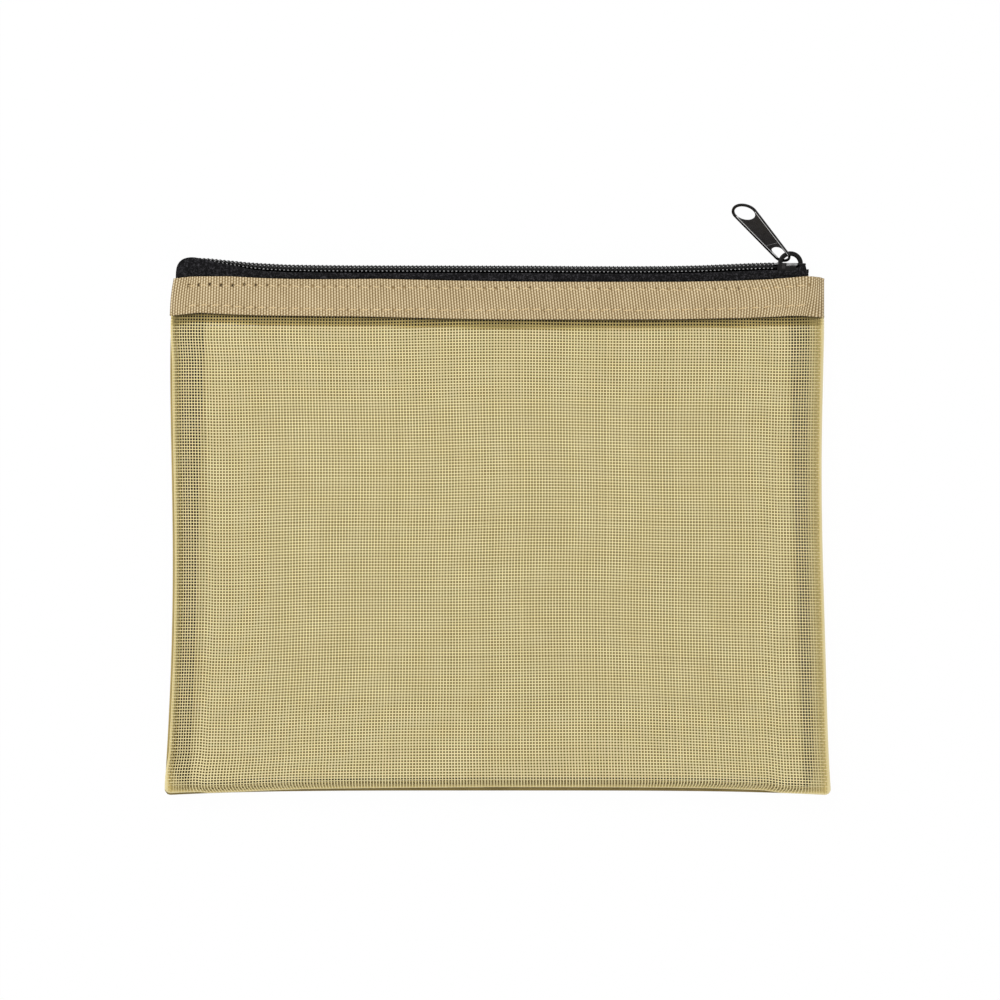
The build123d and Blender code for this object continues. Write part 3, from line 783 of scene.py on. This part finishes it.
# its section by row, from the lower edge up: below the binding's edge, share of the way from the binding to
# the chain, and height off the seam plane
TAPE_DROP = np.array([-16.2, -12.0, -7.5, -3.8, -1.8, -0.6] + [0] * 11)
TAPE_SHARE = np.array([0, 0, 0, 0, 0, 0.0, 0.25, 0.5, 0.72, 0.86, 0.95, 1.0, 1.0, 1.0, 1.0, 1.0, 1.0])
TAPE_HIGH = np.array([
    3.65, 3.65, 3.65, 3.65, 3.7, 3.95, 4.3, 4.5, 4.58, 4.5, 4.25, 3.85, 3.4, 2.9, 2.4, 2.0, 1.6,
])
TAPE_ROWS = len(TAPE_SHARE) - 1


def tape_place(side):
    """One half of the tape, from under the binding up to the coil."""

    def place(column, row):
        distance = column / TAPE_COLUMNS * chain_arc[-1]
        middle, out = chain_at(distance)
        # it ends just under the coil, covers more of it where it is thin, and rises at its right end over the
        # stops
        thin = coil_share(distance)
        edge = COIL_TOP - 2 * (COIL_REACH * thin + COIL_WIRE) + 0.03
        edge = edge + 0.7 * (1 - thin) + 0.5 * turned_over(distance)
        base = middle + out * (edge + 1.1 * smooth_step(-distance, -3.2, -1.0))[:, None]
        share, z = TAPE_SHARE[row], TAPE_HIGH[row]
        low_x = np.interp(column / TAPE_COLUMNS, [0, 0.945, 1], [109.3, -104.0, -113.0])
        low_y = wander(low_x, BAND_HIGH) - 0.3
        x = low_x * (1 - share) * np.where(row < 3, 0.95, 1) + base[:, 0] * share
        y = (low_y + TAPE_DROP[row]) * (1 - share) + base[:, 1] * share
        return np.stack([x, y, MIDDLE + side * z * closing(x, y)], axis=1), np.ones(len(row))

    return place


def coil_thread(side, level, phase, wide):
    """One of the two threads that sew the coil to its tape, where it comes up over each turn, as short beads
    that carry the painted highlight.
    """
    start = phase - (0.5 if side < 0 else 0)
    turn = np.arange(1, coil_turns - 5)[:, None] + start + np.array([-0.12, 0, 0.12])
    rise = np.tile([-0.1, 0.05, -0.1], len(turn))
    return on_coil(side, turn.ravel(), level, wide + rise).reshape(-1, 3, 3)


def coil_core(side):
    """The cord that fills the coil, and how thick it is along its way."""
    turn = np.linspace(0, coil_turns - 1, 400)
    return on_coil(side, turn, -0.1, COIL_OFF), coil_share(COIL_START + turn * TOOTH_PITCH)


def joined(meshes):
    """Several (mesh, material number) pairs as one mesh."""
    build = bmesh.new()
    for mesh, number in meshes:
        mesh.polygons.foreach_set("material_index", np.full(len(mesh.polygons), number, np.int32))
        build.from_mesh(mesh)
        bpy.data.meshes.remove(mesh)
    made = bpy.data.meshes.new("joined")
    build.to_mesh(made)
    build.free()
    return made


for name, side in (("front", 1), ("back", -1)):
    core, thickness = coil_core(side)
    mesh = joined([
        (tube(coil_line(side), COIL_WIRE, "coil", 1), 0), (tube(core, CORE_RADIUS, "coil", 1, thickness), 0),
        *[(tube(coil_thread(side, *where), radius, "coil", 1), 1) for *where, radius in COIL_THREADS],
    ])
    as_piece(f"{name}_coil_wire", mesh, [black_nylon, coil_glint_thread], "wallet", [f"{name}_coil"])
    mesh = shaped_grid(TAPE_COLUMNS, TAPE_ROWS, tape_place(side), flip=side > 0)
    cloth = as_piece(f"{name}_tape_cloth", mesh, [black_tape], "wallet", [f"{name}_zip_tape"])

# Pull: a tapered plate with raised rims, a finger hole at the wide end and a slot at the other
HOLE_CENTRE = Vector((86.43, 113.06, 20.264))
HEADING, PULL_RISE, TWIST = math.radians(134.3), math.radians(34.6), math.radians(47)
WIDE, NARROW, PULL_LENGTH = 4.7, 3.1, 31.8  # radii of its two ends, and its length
HOLE = 3.7
CRISP = math.radians(40)  # metal edges sharper than this stay crisp


def teardrop(trim):
    """The pull's outline, trim inside its edge: two arcs and their common tangents. The hole is at 0, 0."""
    far = PULL_LENGTH - WIDE - NARROW
    lean = math.asin((WIDE - NARROW) / far)
    wide = np.linspace(math.pi / 2 - lean, 1.5 * math.pi + lean, 40)
    thin = np.linspace(-math.pi / 2 + lean, math.pi / 2 - lean, 28)
    return np.concatenate([
        np.stack([(WIDE - trim) * np.cos(wide), (WIDE - trim) * np.sin(wide)], axis=1),
        np.stack([far + (NARROW - trim) * np.cos(thin), (NARROW - trim) * np.sin(thin)], axis=1),
    ])


def ring(centre, half_long, half_wide, near, far, count=10):
    """A rounded rectangle with corners of radius near at its narrow end and far at the other, or a circle
    where both are as large as the halves."""
    points = []
    for quarter, (sx, sy) in enumerate(((1, 1), (-1, 1), (-1, -1), (1, -1))):
        corner = near if sx > 0 else far
        for angle in np.linspace(0, math.pi / 2, count) + quarter * math.pi / 2:
            points.append((
                centre + sx * (half_long - corner) + corner * math.cos(angle),
                sy * (half_wide - corner) + corner * math.sin(angle),
            ))
    return np.array(points)


def plate(name, outlines, half_depth, edge):
    """A flat plate with rounded edges between closed outlines, as a mesh."""
    line = bpy.data.curves.new(name, "CURVE")
    line.dimensions = "2D"
    line.fill_mode = "BOTH"
    line.extrude = (half_depth - edge) * MM
    line.bevel_depth = edge * MM
    line.bevel_resolution = 3
    line.offset = -edge * MM
    for points in outlines:
        spline = line.splines.new("POLY")
        spline.points.add(len(points) - 1)
        flat = np.c_[points * MM, np.zeros(len(points)), np.ones(len(points))]
        spline.points.foreach_set("co", flat.astype(np.float32).ravel())
        spline.use_cyclic_u = True
    holder = bpy.data.objects.new(name, line)
    bpy.context.scene.collection.objects.link(holder)
    bpy.context.view_layer.update()
    mesh = bpy.data.meshes.new_from_object(holder.evaluated_get(bpy.context.evaluated_depsgraph_get()))
    bpy.data.objects.remove(holder)
    return mesh


level = Vector((-math.sin(HEADING), math.cos(HEADING), 0))
length_way = Vector((
    math.cos(PULL_RISE) * math.cos(HEADING), math.cos(PULL_RISE) * math.sin(HEADING), math.sin(PULL_RISE)
))
upright = length_way.cross(level)
face = upright * math.cos(TWIST) + level * math.sin(TWIST)
span = face.cross(-length_way)
pull_place = Matrix.Translation(HOLE_CENTRE * MM) @ Matrix((-length_way, span, face)).transposed().to_4x4()

WEB_HALF, WEB_EDGE = 0.22, 0.1  # half the thickness of the plate inside its rim, rounding of its edges
RIM_HALF, RIM_EDGE, RIM_WIDTH = 0.4, 0.2, 0.9
SLOT_BAR = 0.9  # metal left between the slot and the narrow end
SLOT_HALF_LONG, SLOT_HALF_WIDE = 3.55, 2.2
slot_middle = PULL_LENGTH - WIDE - SLOT_BAR - SLOT_HALF_LONG
hole_ring = ring(0.0, HOLE, HOLE, HOLE, HOLE)
slot_ring = ring(slot_middle, SLOT_HALF_LONG, SLOT_HALF_WIDE, 1.2, 2.1)
# painted highlights: light lines on the crest of one rim and the inner foot of the other, and a grey line on
# a step across the face above the slot
crest = np.c_[teardrop(0.45)[[67, 0]], (0.34, 0.34)]
foot = np.c_[teardrop(0.95)[[39, 40]], (0.12, 0.12)]
step = np.array([(17.3, -2.8, 0.2), (17.3, 2.8, 0.2)])
pull_mesh = joined([
    (plate("web", [teardrop(0.3), hole_ring, slot_ring], WEB_HALF, WEB_EDGE), 1),
    (plate("rim", [teardrop(0.0), teardrop(RIM_WIDTH)], RIM_HALF, RIM_EDGE), 0),
    *[
        (tube(line * (1, 1, side), radius, "edge", 1), number)
        for line, radius, number in ((crest, 0.14, 2), (foot, 0.2, 2), (step, 0.08, 3)) for side in (1, -1)
    ],
])
pull_mesh.transform(pull_place)
pull_mesh.polygons.foreach_set("use_smooth", np.ones(len(pull_mesh.polygons), bool))
pull_mesh.set_sharp_from_angle(angle=CRISP)
as_piece(
    "pull_plate", pull_mesh, [black_enamel, satin_enamel, edge_painted_highlight, grey_painted_highlight], "pull",
    ["pull_tab"],
)

# Slider: its casting with rounded edges, with grey patches painted on its top as highlights
def merged_copy(node):
    """A CAD node's mesh as one closed bmesh."""
    build = bmesh.new()
    build.from_mesh(node.data)
    build.transform(node.matrix_world)
    bmesh.ops.remove_doubles(build, verts=build.verts[:], dist=0.002 * MM)
    return build


def finished(build, name):
    """A bmesh as a mesh with soft faces and crisp edges."""
    mesh = bpy.data.meshes.new(name)
    build.to_mesh(mesh)
    build.free()
    mesh.polygons.foreach_set("use_smooth", np.ones(len(mesh.polygons), bool))
    mesh.set_sharp_from_angle(angle=CRISP)
    return mesh


SLIDER_EDGE = 0.22
build = merged_copy(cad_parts["slider_body"])
bmesh.ops.dissolve_limit(build, angle_limit=math.radians(2), verts=build.verts[:], edges=build.edges[:])
sharp = [e for e in build.edges if e.is_manifold and e.calc_face_angle() > math.radians(50)]
bmesh.ops.bevel(
    build, geom=sharp, offset=SLIDER_EDGE * MM, offset_type="OFFSET", affect="EDGES", segments=2, profile=0.5,
    material=-1, clamp_overlap=True,
)
# patches painted on as highlights: left, right, low, high and the number of the material
SLIDER_HIGHLIGHTS = [(101.6, 105.4, 95.2, 99.0, 1), (100.0, 101.2, 94.2, 95.9, 2), (97.0, 98.7, 95.7, 99.0, 1)]
for left, right, low, high, _ in SLIDER_HIGHLIGHTS:
    for place, way in (((left, 0), (1, 0)), ((right, 0), (1, 0)), ((0, low), (0, 1)), ((0, high), (0, 1))):
        bmesh.ops.bisect_plane(
            build, geom=build.verts[:] + build.edges[:] + build.faces[:], dist=0.001 * MM,
            plane_co=Vector((*place, 0)) * MM, plane_no=Vector((*way, 0)),
        )
for facet in build.faces:
    x, y, _ = facet.calc_center_median() / MM
    for left, right, low, high, number in SLIDER_HIGHLIGHTS:
        if left < x < right and low < y < high and facet.normal.z > 0.2:
            facet.material_index = number
as_piece(
    "slider_casting", finished(build, "slider"), [black_enamel, grey_painted_highlight, satin_enamel],
    "slider", ["slider_body"],
)

# Bail: the arch with its coat of enamel, which makes the wire look thicker
ENAMEL = 0.13
build = merged_copy(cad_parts["slider_bail"])
build.normal_update()
for vertex in build.verts:
    vertex.co += vertex.normal * ENAMEL * MM
as_piece("bail_arch", finished(build, "bail"), [black_enamel], "slider", ["slider_bail"])

# The stops keep their own solids
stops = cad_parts["top_stops"]
stops.data.materials.clear()
stops.data.materials.append(black_enamel)

# Stage: white floor and soft light
def seen_directly(tree):
    """1 for what the camera sees, also in a mirror or through glass, and 0 for light that falls on things."""
    ray = add(tree, "ShaderNodeLightPath").outputs
    seen = reckon(tree, "MAXIMUM", ray["Is Camera Ray"], ray["Is Glossy Ray"])
    return reckon(tree, "MAXIMUM", seen, ray["Is Transmission Ray"])


floor_mesh = bpy.data.meshes.new("floor")
build = bmesh.new()
bmesh.ops.create_grid(build, x_segments=1, y_segments=1, size=6.0)
build.to_mesh(floor_mesh)
build.free()
floor = bpy.data.objects.new("floor", floor_mesh)
bpy.context.scene.collection.objects.link(floor)
FLOOR_GAP = 0.3
floor.location.z = -FLOOR_GAP * MM
paper = bpy.data.materials.new("white_paper_sweep")
paper.use_nodes = True
tree = paper.node_tree
tree.nodes.clear()
glow = add(tree, "ShaderNodeEmission", [("Color", colour("#ffffff")), ("Strength", 1.0)])
matt = add(tree, "ShaderNodeBsdfDiffuse", [("Color", colour("#fcfcfc"))])
# the rest stays matt and keeps the shadow
GLOW_SHARE = 0.98
share = reckon(tree, "MULTIPLY", seen_directly(tree), GLOW_SHARE)
mixed = add(tree, "ShaderNodeMixShader", [(0, share), (1, matt.outputs[0]), (2, glow.outputs[0])])
add(tree, "ShaderNodeOutputMaterial", [("Surface", mixed.outputs[0])])
floor_mesh.materials.append(paper)

world = bpy.data.worlds.new("studio")
bpy.context.scene.world = world
world.use_nodes = True
tree = world.node_tree
tree.nodes.clear()
strength = add(
    tree, "ShaderNodeMapRange", [("Value", seen_directly(tree)), ("To Min", 0.55), ("To Max", 1.0)]
).outputs["Result"]
sky = add(tree, "ShaderNodeBackground", [("Color", colour("#ffffff")), ("Strength", strength)])
add(tree, "ShaderNodeOutputWorld", [("Surface", sky.outputs[0])])


def soft_box(name, place, size, watts):
    """A square area lamp that faces the wallet."""
    lamp = bpy.data.lights.new(name, "AREA")
    lamp.shape = "SQUARE"
    lamp.size = size
    lamp.energy = watts
    holder = bpy.data.objects.new(name, lamp)
    bpy.context.scene.collection.objects.link(holder)
    holder.location = place
    holder.rotation_euler = (-Vector(place)).to_track_quat("-Z", "Y").to_euler()


soft_box("key", (-0.5, 0.9, 1.2), 0.8, 12.0)
soft_box("fill", (0.5, -0.9, 1.2), 0.8, 5.0)

# Camera: straight down on the wallet, through a long lens
FRAME_WIDTH = 0.351  # metres across the picture
DISTANCE = 1.6
SENSOR = 36.0
AIM_X, AIM_Y = 1.05, 12.99  # what the lens points at
camera_data = bpy.data.cameras.new("camera")
camera_data.sensor_width = SENSOR
camera_data.lens = SENSOR * DISTANCE / FRAME_WIDTH
camera = bpy.data.objects.new("camera", camera_data)
bpy.context.scene.collection.objects.link(camera)
camera.location = (AIM_X * MM, AIM_Y * MM, DISTANCE + 10 * MM)
bpy.context.scene.camera = camera
bpy.context.scene.view_settings.view_transform = "Standard"
